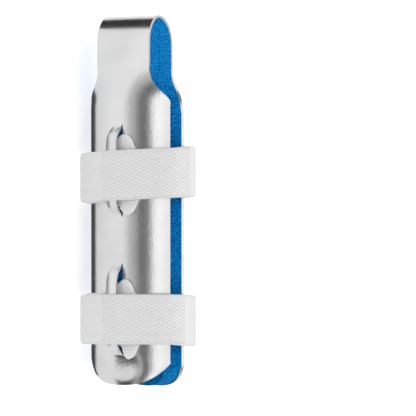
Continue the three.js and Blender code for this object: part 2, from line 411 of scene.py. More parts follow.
def bend_marks(side):
    """Where the strip's neck starts, and where its bend starts and ends."""
    return [FOLD_DROP[side], BEND_START, BEND_START + BEND_LENGTH[side]]


def strip_stations(marks, step):
    """The strip's sections, from the bridge side's open end over the fold to the hole side's."""
    near, far = FOLD_STEPS[-1], FOLD_STEPS[1]
    stations = [side_station(-1, x) for x in reversed(spread(marks[-1], step))]
    stations += [fold_station(-1, 90 * k / near) for k in range(1, near + 1)]
    stations += [fold_station(1, 90 - 90 * k / far) for k in range(1, far)]
    stations += [side_station(1, x) for x in spread(marks[1], step)]
    return stations


def thicken(sheet, faces, top, under):
    """A closed mesh from a sheet's points and faces, with its two faces at two depths."""
    count = len(sheet)
    vertices = [
        strip_point(station, share, depth(station, share) - lift, overhang)
        for depth in (top, under)
        for station, share, lift, overhang in sheet
    ]
    edges = dict.fromkeys(edge for face in faces for edge in zip(face, face[1:] + face[:1]))
    made = [tuple(face) for face in faces]
    made += [tuple(v + count for v in reversed(face)) for face in faces]
    made += [(b, a, a + count, b + count) for a, b in edges if (b, a) not in edges]
    return vertices, made


def quad_at(i, j, columns):
    """A face of a sheet between two stations and two columns, as point numbers."""
    first, after = i * columns + j, (i + 1) * columns + j
    return [first, after, after + 1, first + 1]


def bridge_height(distance):
    """How high a bridge stands, at a distance from its foot."""
    if distance <= 0:
        return 0.0
    if distance >= BRIDGE_RAMP:
        share = clamp((distance - BRIDGE_RAMP) / (BRIDGE_LENGTH / 2 - BRIDGE_RAMP))
        return BRIDGE_RISE * mix(RAMP["rise"][-1], 1, share)
    return BRIDGE_RISE * smooth_table(RAMP["along"], RAMP["rise"], distance / BRIDGE_RAMP)


def bridge_lift(station, share):
    """How far a bridge stands off the strip. It is hollowed along its middle, so its edges stand up."""
    if station["side"] > 0 or abs(share) > BRIDGE_SHARE + TINY:
        return 0.0
    hollow = HOLLOW * (1 - (share / BRIDGE_SHARE) ** 2)
    rises = [bridge_height(BRIDGE_LENGTH / 2 - abs(station["x"] - centre)) for centre in BRIDGES]
    return max(rise - hollow * clamp(rise / HOLLOW_FULL) for rise in rises)


def in_slit(x, share):
    """Whether a place on the bridge side is in a slit."""
    reach = BRIDGE_LENGTH / 2 - (SLIT_LAG if share < 0 else 0)
    return BRIDGE_SHARE < abs(share) < SLIT_SHARE and any(abs(x - centre) < reach for centre in BRIDGES)


def hole_at(x, share):
    """The number of the hole whose patch has this place of the hole side, or None."""
    if abs(share) > PATCH / SHELL_HALF:
        return None
    return next((k for k, centre in enumerate(HOLES) if abs(x - centre) < PATCH), None)


def bore(sheet, faces, quads, centre):
    """Fills a hole's patch with rings of faces, from its square rim to the round hole."""
    edges = {edge for quad in quads for edge in zip(quad, quad[1:] + quad[:1])}
    follow = {a: b for a, b in edges if (b, a) not in edges}
    rim = [min(follow)]
    while follow[rim[-1]] != rim[0]:
        rim.append(follow[rim[-1]])
    before = rim
    for share in RINGS:
        ring = []
        for v in rim:
            station, t, _, _ = sheet[v]
            dx, dq = station["x"] - centre, t * SHELL_HALF
            size = math.hypot(dx, dq)
            reach = mix(size, HOLE_RADIUS, share)
            moved = side_station(1, centre + dx / size * reach)
            ring.append(len(sheet))
            sheet.append((moved, dq / size * reach / SHELL_HALF, 0.0, 0.0))
        for k in range(len(rim)):
            n = (k + 1) % len(rim)
            faces.append([before[k], before[n], ring[n], ring[k]])
        before = ring


def metal_sheet(step):
    """The strip's sheet, with its holes and the slits beside its bridges."""
    half = BRIDGE_LENGTH / 2
    marks = {side: bend_marks(side) for side in (-1, 1)}
    for centre in BRIDGES:
        marks[-1] += [centre - half + mark for mark in FOOT_MARKS]
        marks[-1] += [centre + half - mark for mark in reversed(FOOT_MARKS)]
    for centre in HOLES:
        marks[1] += [centre - PATCH, centre + PATCH]
    for side in (-1, 1):
        marks[side].append(LENGTH[side])
    stations = strip_stations(marks, step)
    shares = spread([0, BRIDGE_SHARE], BRIDGE_STEP / SHELL_HALF)
    shares += spread([BRIDGE_SHARE, SLIT_SHARE, PATCH / SHELL_HALF, 1], step / SHELL_HALF)[1:]
    shares = mirrored(shares)
    sheet = [(station, share, bridge_lift(station, share), 0.0) for station in stations for share in shares]
    faces = []
    patches = [[] for _ in HOLES]
    for i in range(len(stations) - 1):
        x = (stations[i]["x"] + stations[i + 1]["x"]) / 2
        sides = (stations[i]["side"], stations[i + 1]["side"])
        for j in range(len(shares) - 1):
            share = (shares[j] + shares[j + 1]) / 2
            hole = hole_at(x, share) if sides == (1, 1) else None
            if hole is not None:
                patches[hole].append(quad_at(i, j, len(shares)))
            elif sides != (-1, -1) or not in_slit(x, share):
                faces.append(quad_at(i, j, len(shares)))
    for centre, quads in zip(HOLES, patches):
        bore(sheet, faces, quads, centre)
    used = sorted({v for face in faces for v in face})
    index = {v: k for k, v in enumerate(used)}
    return [sheet[v] for v in used], [[index[v] for v in face] for face in faces]


def metal_top(station, share):
    """The metal's outer face, from which every depth of the strip is measured."""
    return 0.0


def metal_under(station, share):
    """The metal's inner face, as deep everywhere."""
    return METAL


def foam_sheet(step):
    """The foam's sheet, which stops a little short of the strip's open ends."""
    marks = {side: [*bend_marks(side), LENGTH[side]] for side in (-1, 1)}
    stations = strip_stations(marks, step)
    shares = mirrored(spread([0, 1], step / SHELL_HALF))
    sheet = [(station, share, 0.0, -FOAM_SHORT) for station in stations for share in shares]
    faces = [quad_at(i, j, len(shares)) for i in range(len(stations) - 1) for j in range(len(shares) - 1)]
    return sheet, faces


def foam_top(station, share):
    """The foam's outer face. It swells into the holes, and the heads have pressed it in under the bridges."""
    depth = METAL + FOAM_GAP
    q = share * SHELL_HALF
    if station["side"] > 0:
        for centre in HOLES:
            far = math.hypot(station["x"] - centre, q) / (HOLE_RADIUS - SWELL_INSET)
            depth -= SWELL * max(1 - far * far, 0)
    else:
        for centre in BRIDGES:
            far = math.hypot(q / PRESSED["wide"], (station["x"] - centre) / PRESSED["long"])
            depth += PRESSED["depth"] * math.sqrt(max(1 - far * far, 0))
    return depth


def foam_under(station, share):
    """The foam's inner face, as deep all across. Its two sides meet inside the fold and the neck."""
    own = METAL + SEAM + FOAM * station["loft"]
    far, ny, side = station["y"] - FOLD_APEX, station["normal"][1], station["side"]
    if abs(ny) < TINY:
        return FOLD_REACH[side] ** 2 / FOLD_DROP[side]
    meeting = (far - side * min(MEETING_GAP, abs(far) / 4)) / ny
    return mix(meeting, own, eased(clamp((station["x"] - BEND_START) / MEETING_LENGTH)))


# The straps' shape


class Band:
    """A taut band round a set of points, in the plane across the strip, as reaches from its middle."""

    def __init__(self, points, gap):
        self.degrees = np.arange(0, 360 + RAY_STEP / 2, RAY_STEP)
        lines = np.radians(np.arange(0, 360, LINE_STEP))
        # A line is laid against the points in each direction. Every ray stops at the first line it meets.
        support = (np.array(points) @ np.array([-np.cos(lines), np.sin(lines)])).max(axis=0)
        facing = np.cos(np.radians(self.degrees)[:, None] - lines[None, :])
        met = facing > LEAST_FACING
        facing = np.maximum(facing, LEAST_FACING)
        self.inner, self.outer = [
            np.where(met, (support + offset) / facing, np.inf).min(axis=1) for offset in (gap, gap + TAPE)
        ]

    def at(self, degrees, height):
        """The point at an angle, at a height above the band's inner face."""
        inner = np.interp(degrees % 360, self.degrees, self.inner)
        outer = np.interp(degrees % 360, self.degrees, self.outer)
        reach = mix(inner, outer, height / TAPE)
        a = math.radians(degrees)
        return -reach * math.cos(a), reach * math.sin(a)


def shell_outline():
    """Points on the outer faces of both shells, across the strip."""
    angles = [SHELL_ANGLE * k / OUTLINE_STEPS for k in range(-OUTLINE_STEPS, OUTLINE_STEPS + 1)]
    return [
        (side * (BODY_DEPTH / 2 - SHELL_RADIUS * (1 - math.cos(a))), SHELL_RADIUS * math.sin(a))
        for side in (-1, 1)
        for a in angles
    ]


def loop_band():
    """The loop tape's band lies on both shells and is a little slack over their open sides."""
    rim = BODY_DEPTH / 2 - SHELL_RADIUS * (1 - math.cos(SHELL_ANGLE))
    slack = [(rim * depth, SHELL_WIDTH / 2 + SLACK * rise) for depth, rise in SLACK_POINTS]
    return Band(shell_outline() + slack, SEAM)


def head_tip():
    """The angle at which a head's tip lies."""
    face = BODY_DEPTH / 2 + SEAM
    return math.degrees(math.atan2(HEAD_REACH, face - HEAD_REACH**2 / 2 / SHELL_RADIUS))


def hook_band():
    """The hook tape's band lies on the loop tape and goes over the bridge."""
    band = loop_band()
    below = [band.at(a, TAPE) for a in np.linspace(head_tip(), LOOP_END - 360, LAID_POINTS)]
    crown = BODY_DEPTH / 2 + BRIDGE_RISE
    return Band(below + [(-crown, -BRIDGE_HALF), (-crown, BRIDGE_HALF)], SEAM)


class Tape:
    """One tape: a band between two angles, with its half widths along the run."""

    def __init__(self, band, strap, slope, angles, halves, lean):
        self.band, self.strap = band, strap
        self.across = math.tan(math.radians(slope))
        self.deep = math.tan(math.radians(strap["pitch"]))
        self.angles = angles
        points = np.array([band.at(a, 0) for a in angles])
        self.runs = np.concatenate([[0], np.cumsum(np.hypot(*np.diff(points, axis=0).T))])
        self.whole = float(self.runs[-1])
        self.halves, self.lean = halves, lean

    def point(self, run, v, height):
        """A point of the tape at a run along it, a distance across it and a height in it."""
        fold, opened = self.halves(run, self.whole)
        share = v / opened if v > 0 else v / fold
        degrees = float(np.interp(run, self.runs, self.angles)) + share * self.lean(run)
        y, z = self.band.at(degrees, height)
        x = self.strap["centre"] - z * self.across + (y + BODY_DEPTH / 2) * self.deep + v
        return place(x, y, z)


def loop_halves(strap):
    """The loop tape's half widths towards the fold and towards the open ends: head, band and tail."""

    def halves(run, whole):
        along = clamp(run / HEAD_LENGTH)
        turned = smooth_table(strap["along"], HEAD_ROUND, along)
        tail = max(1 - (whole - run) / LOOP_TAIL, 0)
        half = mix(LOOP_WIDTH, LOOP_TAIL_WIDTH, tail) / 2
        return [
            turned * mix(half, HEAD_HEIGHT / 2, smooth_table(strap["along"], strap[key], along))
            for key in ("fold", "open")
        ]

    return halves


def loop_tape(strap):
    """The tape that starts as a head under the bridge. The head leans a little round the strip."""

    def lean(run):
        return HEAD_LEAN * max(1 - run / HEAD_LENGTH, 0)

    slope = strap["slope"] + strap["skew"]
    angles = np.linspace(head_tip(), LOOP_END - 360, LOOP_POINTS)
    return Tape(loop_band(), strap, slope, angles, loop_halves(strap), lean)


def hook_tape(strap):
    """The outer tape, which is as wide and as straight all along."""
    angles = np.linspace(strap["lap"], -HOOK_END, HOOK_POINTS)
    halves = (HOOK_WIDTH / 2, HOOK_WIDTH / 2)
    return Tape(hook_band(), strap, strap["slope"], angles, lambda run, whole: halves, lambda run: 0.0)


def arc(middle, radius, degrees):
    """Points on a corner, at angles turned from the outer face towards the edge by the open ends."""
    turns = [math.radians(angle) for angle in degrees]
    return [(middle[0] + radius * math.sin(a), middle[1] + radius * math.cos(a)) for a in turns]


def tape_section(fold, opened):
    """The tape's section as points across and up, with a full outer edge and a crisp inner one."""
    left, right = FULL_EDGE - fold, opened - FULL_EDGE
    low_left, low_right = CRISP_EDGE - fold, opened - CRISP_EDGE
    points = [(mix(left, right, k / FACE_STEPS), TAPE) for k in range(FACE_STEPS + 1)]
    points += arc((right, TAPE - FULL_EDGE), FULL_EDGE, (22.5, 45, 67.5, 90))
    points += arc((low_right, CRISP_EDGE), CRISP_EDGE, (90, 135, 180))
    points += [(mix(low_right, low_left, k / FACE_STEPS), 0) for k in range(1, FACE_STEPS)]
    points += arc((low_left, CRISP_EDGE), CRISP_EDGE, (180, 225, 270))
    points += arc((left, TAPE - FULL_EDGE), FULL_EDGE, (270, 292.5, 315, 337.5))
    return points


def tape_mesh(name, tape):
    """The tape as one closed mesh, with its two ends slightly rounded."""
    runs = [*ROUNDED, *spread([2 * END_ROUND, HEAD_FINE], END_ROUND)]
    runs += spread([HEAD_FINE + END_ROUND, tape.whole - TAPE_STEP], TAPE_STEP)
    runs += [tape.whole - run for run in reversed(ROUNDED)]
    vertices, faces = [], []
    for run in runs:
        pinch = 1 - min(run, tape.whole - run, END_ROUND) / END_ROUND
        squeeze = 1 - END_THINNING * (1 - math.sqrt(1 - pinch**2))
        section = tape_section(*tape.halves(run, tape.whole))
        vertices += [tape.point(run, v, mix(TAPE / 2, h, squeeze)) for v, h in section]
    size = len(section)
    for start in range(0, size * (len(runs) - 1), size):
        for j in range(size):
            a, b = start + j, start + (j + 1) % size
            faces.append((a, b, b + size, a + size))
    faces.append(tuple(range(size)))
    faces.append(tuple(reversed(range(len(vertices) - size, len(vertices)))))
    return object_from(name, vertices, faces)


# Materials, with the sizes of their patterns in millimetres

GRAIN = (0.77, 0.357, 0.357)
GRAIN_HEIGHT = 0.08
SPECKS = 0.333
METAL_CLOUDS = 11.1
CELL_HEIGHT = 0.15
FOAM_PATCHES = 0.526
FABRIC_CLOUDS = 4.0
PILE = 0.25
YARN = 0.15
YARN_HEIGHT = 0.12
# How strongly the fabrics' relief shows, as shares
PILE_RELIEF = 0.5
YARN_RELIEF = 0.3


def noise(size, detail=2.0):
    """A noise's inputs for a pattern of a size in millimetres."""
    return {"Scale": 1000 / size, "Detail": detail}


def aluminium_material(settings):
    """Rolled aluminium sheet with a bright mill finish: soft, slightly streaked mirror reflections."""
    material, tree = new_material("rolled_aluminium")
    at = add_node(tree, "ShaderNodeTexCoord", (-1200, 0)).outputs["Object"]
    # The rolling grain runs along the strip. Real grain is some 0.05 mm wide, too fine to show in the
    # picture, so it and the specks are drawn several times as coarse.
    scale = [1000 / size for size in GRAIN]
    long_grain = add_node(tree, "ShaderNodeMapping", (-1000, 0), {"Vector": at, "Scale": scale})
    values = {"Vector": long_grain.outputs[0], "Scale": 1.0, "Detail": 3.0}
    grain = add_node(tree, "ShaderNodeTexNoise", (-800, 0), values)
    specks = add_node(tree, "ShaderNodeTexNoise", (-800, -260), {"Vector": at, **noise(SPECKS)})
    clouds = add_node(tree, "ShaderNodeTexNoise", (-800, 260), {"Vector": at, **noise(METAL_CLOUDS)})
    tint = add_node(
        tree,
        "ShaderNodeValToRGB",
        (-500, 260),
        {"Fac": clouds.outputs["Fac"]},
        stops=[(0.3, settings.dull), (0.7, settings.bright)],
    )
    values = {
        "Value": grain.outputs["Fac"],
        "From Min": 0.3,
        "From Max": 0.7,
        "To Min": settings.roughness - 0.03,
        "To Max": settings.roughness + 0.05,
    }
    rough = add_node(tree, "ShaderNodeMapRange", (-500, 0), values)
    values = {0: grain.outputs["Fac"], 1: specks.outputs["Fac"]}
    relief = add_node(tree, "ShaderNodeMath", (-500, -260), values, operation="ADD")
    values = {"Height": relief.outputs[0], "Strength": 0.32, "Distance": GRAIN_HEIGHT / 1000}
    bump = add_node(tree, "ShaderNodeBump", (-250, -260), values)
    values = {
        "Base Color": tint.outputs["Color"],
        "Metallic": 1.0,
        "Roughness": rough.outputs["Result"],
        "Normal": bump.outputs["Normal"],
    }
    shader = add_node(tree, "ShaderNodeBsdfPrincipled", (0, 0), values)
    add_node(tree, "ShaderNodeOutputMaterial", (300, 0), {"Surface": shader.outputs[0]})
    return material


def foam_material(settings):
    """Open cell polyurethane foam: matt, with fine pores, darkened by painted shade, between lighter cell
    walls.
    """
    material, tree = new_material("open_cell_foam")
    at = add_node(tree, "ShaderNodeTexCoord", (-1200, 0)).outputs["Object"]
    values = {"Vector": at, "Scale": 1 / settings.cell}
    cells = add_node(tree, "ShaderNodeTexVoronoi", (-900, 100), values, feature="F1")
    patches = add_node(tree, "ShaderNodeTexNoise", (-900, -200), {"Vector": at, **noise(FOAM_PATCHES)})
    values = {"Factor": 0.55, 2: cells.outputs["Distance"], 3: patches.outputs["Fac"]}
    blend = add_node(tree, "ShaderNodeMix", (-650, 0), values, data_type="FLOAT")
    # The colour follows the sunken pores: the darkest stop is painted shade in them.
    colour = add_node(
        tree,
        "ShaderNodeValToRGB",
        (-400, 100),
        {"Fac": blend.outputs[0]},
        stops=[(0.25, settings.skin), (0.42, settings.body), (0.58, settings.pore_shade)],
    )
    values = {"Height": blend.outputs[0], "Strength": 0.5, "Distance": CELL_HEIGHT / 1000}
    bump = add_node(tree, "ShaderNodeBump", (-400, -250), values, invert=True)
    values = {
        "Base Color": colour.outputs["Color"],
        "Roughness": 0.92,
        "Specular IOR Level": 0.05,
        "Normal": bump.outputs["Normal"],
    }
    shader = add_node(tree, "ShaderNodeBsdfPrincipled", (0, 0), values)
    add_node(tree, "ShaderNodeOutputMaterial", (300, 0), {"Surface": shader.outputs[0]})
    return material


def tape_material(name, colour, ground_shade, spacing, strength):
    """White nylon narrow fabric: soft, matt, with fine yarns, a slight sheen at grazing angles, and painted
    shade on the ground between the raised floats.
    """
    material, tree = new_material(name)
    at = add_node(tree, "ShaderNodeTexCoord", (-1200, 0)).outputs["Object"]
    yarn = add_node(tree, "ShaderNodeTexNoise", (-900, 0), {"Vector": at, **noise(spacing, 3.0)})
    clouds = add_node(tree, "ShaderNodeTexNoise", (-900, 260), {"Vector": at, **noise(FABRIC_CLOUDS)})
    values = {"Factor": 0.4, 2: yarn.outputs["Fac"], 3: clouds.outputs["Fac"]}
    both = add_node(tree, "ShaderNodeMix", (-650, 100), values, data_type="FLOAT")
    duller = [0.95 * part for part in colour[:3]] + [1]
    stops = [(0.35, duller), (0.65, colour)]
    tone = add_node(tree, "ShaderNodeValToRGB", (-400, 100), {"Fac": both.outputs[0]}, stops)
    # The yarns between the raised floats lie deeper, and their greyer colour is painted shade.
    raised = add_node(tree, "ShaderNodeAttribute", (-650, 350), attribute_name="raised")
    values = {"Factor": raised.outputs["Fac"], 6: ground_shade, 7: tone.outputs["Color"]}
    shaded = add_node(tree, "ShaderNodeMix", (-200, 200), values, data_type="RGBA")
    values = {"Height": yarn.outputs["Fac"], "Strength": strength, "Distance": YARN_HEIGHT / 1000}
    bump = add_node(tree, "ShaderNodeBump", (-400, -200), values)
    values = {
        "Base Color": shaded.outputs[2],
        "Roughness": 0.85,
        "Specular IOR Level": 0.25,
        "Sheen Weight": 0.2,
        "Sheen Roughness": 0.5,
        "Normal": bump.outputs["Normal"],
    }
    shader = add_node(tree, "ShaderNodeBsdfPrincipled", (0, 0), values)
    add_node(tree, "ShaderNodeOutputMaterial", (300, 0), {"Surface": shader.outputs[0]})
    return material


# The woven floats, as instances on the tape. Sizes in millimetres: how far they stay from the tape's
# edges and from its ends, and the reach over which the tape's direction is taken.

FLOAT_EDGE = 0.75
FLOAT_START = 0.9
FLOAT_REACH = 0.3
PILE_HEIGHT = 0.5
FLOAT_SIZES = {"Float Length": "float_length", "Float Width": "float_width", "Float Height": "float_height"}


def weave_tree():
    """Geometry Nodes: a lens shaped float of yarn on each loose point, turned to the tape's face and run."""
    tree = bpy.data.node_groups.new("woven_floats", "GeometryNodeTree")
    face = tree.interface
    face.new_socket("Geometry", in_out="INPUT", socket_type="NodeSocketGeometry")
    for name in FLOAT_SIZES:
        face.new_socket(name, in_out="INPUT", socket_type="NodeSocketFloat")
    face.new_socket("Material", in_out="INPUT", socket_type="NodeSocketMaterial")
    face.new_socket("Geometry", in_out="OUTPUT", socket_type="NodeSocketGeometry")
    given = add_node(tree, "NodeGroupInput", (-1200, 0)).outputs
    named = "GeometryNodeInputNamedAttribute"
    flag = add_node(tree, named, (-1200, 300), {"Name": "float_point"}, data_type="BOOLEAN")
    facing = add_node(tree, named, (-1200, -300), {"Name": "facing"}, data_type="FLOAT_VECTOR")
    running = add_node(tree, named, (-1200, -500), {"Name": "running"}, data_type="FLOAT_VECTOR")
    values = {"Geometry": given["Geometry"], "Selection": flag.outputs["Attribute"]}
    parted = add_node(tree, "GeometryNodeSeparateGeometry", (-950, 100), values, domain="POINT")
    align = "FunctionNodeAlignRotationToVector"
    up = add_node(tree, align, (-950, -300), {"Vector": facing.outputs["Attribute"]}, axis="Z")
    values = {"Rotation": up.outputs["Rotation"], "Vector": running.outputs["Attribute"]}
    turned = add_node(tree, align, (-700, -300), values, axis="X", pivot_axis="Z")
    values = {"Segments": 10, "Rings": 6, "Radius": 0.5}
    ball = add_node(tree, "GeometryNodeMeshUVSphere", (-950, 500), values)
    values = {k: given[name] for k, name in enumerate(FLOAT_SIZES)}
    size = add_node(tree, "ShaderNodeCombineXYZ", (-950, 700), values)
    values = {"Geometry": ball.outputs["Mesh"], "Scale": size.outputs[0]}
    lens = add_node(tree, "GeometryNodeTransform", (-700, 500), values)
    values = {"Geometry": lens.outputs["Geometry"], "Name": "raised", "Value": 1.0}
    store = "GeometryNodeStoreNamedAttribute"
    raised = add_node(tree, store, (-580, 500), values, data_type="FLOAT", domain="POINT")
    values = {
        "Points": parted.outputs["Selection"],
        "Instance": raised.outputs["Geometry"],
        "Rotation": turned.outputs["Rotation"],
    }
    placed = add_node(tree, "GeometryNodeInstanceOnPoints", (-450, 200), values)
    values = {"Geometry": placed.outputs["Instances"]}
    real = add_node(tree, "GeometryNodeRealizeInstances", (-250, 200), values)
    soft = add_node(tree, "GeometryNodeSetShadeSmooth", (-50, 200), {"Geometry": real.outputs["Geometry"]})
    joined = add_node(tree, "GeometryNodeJoinGeometry", (150, 100))
    tree.links.new(soft.outputs["Geometry"], joined.inputs["Geometry"])
    tree.links.new(parted.outputs["Inverted"], joined.inputs["Geometry"])
    values = {"Geometry": joined.outputs["Geometry"], "Material": given["Material"]}
    coloured = add_node(tree, "GeometryNodeSetMaterial", (350, 100), values)
    add_node(tree, "NodeGroupOutput", (600, 100), {"Geometry": coloured.outputs["Geometry"]})
    return tree


def float_points(tape, pitch, row, stop):
    """Places for floats on the tape's outer face, in staggered rows, with its facing and run there."""
    places = []
    rows = math.ceil(HEAD_HEIGHT / 2 / row)
    for k in range(-rows, rows + 1):
        v = k * row
        run = FLOAT_START + (pitch / 2 if k % 2 else 0)
        while run < stop:
            fold, opened = tape.halves(run, tape.whole)
            if FLOAT_EDGE - fold <= v <= opened - FLOAT_EDGE:
                here = Vector(tape.point(run, v, TAPE))
                ahead = Vector(tape.point(min(run + FLOAT_REACH, tape.whole), v, TAPE))
                behind = Vector(tape.point(max(run - FLOAT_REACH, 0), v, TAPE))
                out = here - Vector(tape.point(run, v, TAPE - FLOAT_REACH))
                along = (ahead - behind).normalized()
                places.append((here, (out - along * out.dot(along)).normalized(), along))
            run += pitch
    return places


def add_weave(piece, tape, settings, plain, material, height):
    """Adds the floats' loose points to the tape's mesh, and the modifier that puts floats on them."""
    mesh = piece.data
    pitch, row = settings.float_pitch * 1000, settings.row_pitch * 1000
    places = float_points(tape, pitch, row, tape.whole - plain)
    first = len(mesh.vertices)
    mesh.vertices.add(len(places))
    for k, (at, _, _) in enumerate(places):
        mesh.vertices[first + k].co = at
    flag = mesh.attributes.new("float_point", "BOOLEAN", "POINT")
    flag.data.foreach_set("value", [k >= first for k in range(len(mesh.vertices))])
    for column, name in ((1, "facing"), (2, "running")):
        layer = mesh.attributes.new(name, "FLOAT_VECTOR", "POINT")
        flat = [c for one in places for c in one[column]]
        layer.data.foreach_set("vector", [0.0] * (3 * first) + flat)
    tree = bpy.data.node_groups.get("woven_floats") or weave_tree()
    modifier = piece.modifiers.new("weave", "NODES")
    modifier.node_group = tree
    values = {name: getattr(settings, key) for name, key in FLOAT_SIZES.items()}
    values["Float Height"] *= height
    values["Material"] = material
    for item in tree.interface.items_tree:
        if item.in_out == "INPUT" and item.name in values:
            modifier[item.identifier] = values[item.name]
    apply_modifiers(piece)


def dress_tape(node, tape, settings, plain, material, height=1.0):
    """One tape with its floats, plain near its end, in place of its node."""
    piece = tape_mesh(f"{node}_fabric", tape)
    face_outwards(piece)
    add_weave(piece, tape, settings, plain, material, height)
    finish_piece(piece, material, node)


# Settings


def size_setting(name, description, size, low=0.0):
    """A length that the user can change. It is given here in millimetres and kept in metres."""
    return FloatProperty(
        name=name, description=description, default=size / 1000, min=low / 1000, precision=5, unit="LENGTH"
    )


def colour_setting(name, description, colour):
    return FloatVectorProperty(
        name=name, description=description, default=hex_colour(colour), size=4, min=0, max=1, subtype="COLOR"
    )


def number_setting(name, description, value):
    return FloatProperty(name=name, description=description, default=value, min=0.0)


def share_setting(name, description, value):
    return FloatProperty(
        name=name, description=description, default=value, min=0.0, max=1.0, subtype="FACTOR"
    )


def angle_setting(name, description, degrees):
    return FloatProperty(name=name, description=description, default=math.radians(degrees), subtype="ANGLE")


def power_setting(name, description, watts):
    return FloatProperty(name=name, description=description, default=watts, min=0.0, unit="POWER")


class SplintMetalSettings(PropertyGroup):
    mesh_step: size_setting("Mesh Step", "Largest face on the sheet", 0.8, 0.3)
    edge: size_setting("Edge Round", "Rounding of the cut edges", 0.2)
    roughness: share_setting("Roughness", "How blurred the rolled sheet's reflections are", 0.215)
    dull: colour_setting("Dull", "Darker clouds of the sheet", "#C6C6C6")
    bright: colour_setting("Bright", "Lighter clouds of the sheet", "#D2D2D2")


class SplintFoamSettings(PropertyGroup):
    mesh_step: size_setting("Mesh Step", "Largest face on the foam", 1.0, 0.3)
    edge: size_setting("Edge Round", "Rounding of the foam's edges", 0.35)
    cell: size_setting("Cell Size", "Distance between pores", 0.32, 0.05)
    skin: colour_setting("Cell Walls", "Lightest colour, on the walls of the cells", "#1FA4E8")
    body: colour_setting("Foam", "Main colour of the foam", "#0A82C8")
    # The pores' colour is painted shade in the sunken pores.
    pore_shade: colour_setting("Pores", "Darkest colour, in the pores", "#055694")


class SplintTapeSettings(PropertyGroup):
    float_pitch: size_setting("Float Pitch", "Distance between the floats of one row", 1.72, 0.2)
    row_pitch: size_setting("Row Pitch", "Distance between rows", 0.463, 0.1)
    float_length: size_setting("Float Length", "Length of one float", 1.28, 0.1)
    float_width: size_setting("Float Width", "Width of one float", 0.4, 0.1)
    float_height: size_setting("Float Height", "Whole height of one float, half of it sunk", 0.3, 0.02)
    smooth_end: size_setting("Smooth End", "Plain pile at the loop tape's end", 21.0)
    woven: colour_setting("Floats", "The hook tape's raised yarns", "#ECECEC")
    # The two ground colours are the floats' colours darkened by painted shade between the raised floats.
    ground_shade: colour_setting("Ground", "The hook tape between its raised yarns", "#D9D9D9")
    pile: colour_setting("Pile", "The loop tape's pile", "#ECECEC")
    pile_ground_shade: colour_setting("Pile Ground", "The loop tape's ground", "#E2E2E2")


class SplintStageSettings(PropertyGroup):
    yaw: angle_setting("Yaw", "Turn of the camera round the splint", 33)
    distance: size_setting("Distance", "Camera to splint", 580.0, 100.0)
    scale: number_setting("Scale", "Pixels for one mm at the splint", 3.97)
    softbox: power_setting("Softbox Power", "Overhead light", 42.0)
    front_light: power_setting("Front Power", "Light over the front", 18.5)
    table_drop: size_setting("Table Drop", "Table below the frame", 0.17)
    table_glow: number_setting("Table Glow", "Light from the table itself", 0.74)
    room: number_setting("Room Light", "Light from the rest of the room", 0.95)


# Pieces


class SPLINT_OT_body(Operator):
    """Make the aluminium strip with its holes and bridges"""

    bl_idname = "splint.body"
    bl_label = "Splint Body"

    def execute(self, context):
        settings = context.scene.splint_metal
        sheet, faces = metal_sheet(settings.mesh_step * 1000)
        piece = object_from("splint_body_sheet", *thicken(sheet, faces, metal_top, metal_under))
        face_outwards(piece)
        round_edges(piece, settings.edge, harden=True)
        finish_piece(piece, aluminium_material(settings), "splint_body")
        return {"FINISHED"}


class SPLINT_OT_foam(Operator):
    """Make the blue foam on the strip's inner face"""

    bl_idname = "splint.foam"
    bl_label = "Foam Lining"

    def execute(self, context):
        settings = context.scene.splint_foam
        sheet, faces = foam_sheet(settings.mesh_step * 1000)
        piece = object_from("foam_lining_pad", *thicken(sheet, faces, foam_top, foam_under))
        face_outwards(piece)
        round_edges(piece, settings.edge)
        finish_piece(piece, foam_material(settings), "foam_lining")
        return {"FINISHED"}


class SPLINT_OT_loop_tapes(Operator):
    """Make the two loop tapes with their heads under the bridges"""

    bl_idname = "splint.loop_tapes"
    bl_label = "Loop Tapes"

    def execute(self, context):
        settings = context.scene.splint_tape
        material = tape_material("brushed_loop_tape", settings.pile, settings.pile_ground_shade, PILE, PILE_RELIEF)
        for name, strap in STRAPS.items():
            tape = loop_tape(strap)
            plain = settings.smooth_end * 1000
            dress_tape(f"{name}_loop_tape", tape, settings, plain, material, PILE_HEIGHT)
        return {"FINISHED"}


class SPLINT_OT_hook_tapes(Operator):
    """Make the two woven outer tapes"""

    bl_idname = "splint.hook_tapes"
    bl_label = "Hook Tapes"

    def execute(self, context):
        settings = context.scene.splint_tape
        material = tape_material("woven_nylon_tape", settings.woven, settings.ground_shade, YARN, YARN_RELIEF)
        for name, strap in STRAPS.items():
            tape = hook_tape(strap)
            dress_tape(f"{name}_hook_tape", tape, settings, FLOAT_START, material)
        return {"FINISHED"}


# Stage

# Pixels of the photograph: its width and height, the fold's row, and the point that the camera faces
PICTURE = 416
FOLD_PIXEL = 16.8
AIM_PIXEL = (137.3, 155.0)
SENSOR = 36.0

# In metres: the table, the softboxes' height, depth and size, and how near and far the camera sees
TABLE = [(-4, -0.8), (4, -0.8), (4, 4), (-4, 4)]
TABLE_COLOUR = "#B4B4B4"
ROOM_COLOUR = "#7C7C7C"
SOFTBOX_HEIGHT = 1.0
OVERHEAD = (0.55, (5.4, 2.3))
FRONT = (-1.01, (5.4, 0.82))
CLIP = (0.01, 20)

# In millimetres: how far the glowing cards of painted reflection lie over the frame's bottom, the middle of
# the fold's card and its corners in degrees and reach round that, and the corners of the card under the
# splint, which paints the shade under it into the metal
CARD_LIFT = 0.2
FAN_MIDDLE = (1.8, -5.0)
FAN = ((46, 7), (46, 75), (78, 90), (110, 75), (110, 7))
UNDER = [(-2, -10), (13, -10), (13, -5.5), (36, -5.5), (36, -10), (47, -10), (47, -5.5), (92, -5.5)]
UNDER += [(92, 9), (-2, 9)]


def fan_corner(degrees, reach):
    turn = math.radians(degrees)
    return FAN_MIDDLE[0] - reach * math.sin(turn), FAN_MIDDLE[1] - reach * math.cos(turn), 0


def flat_card(along, deep, rise=0):
    """A card's corners from two places along and two in depth. Its far edge may rise."""
    (left, right), (near, far) = along, deep
    return [(left, near, 0), (right, near, 0), (right, far, rise), (left, far, rise)]
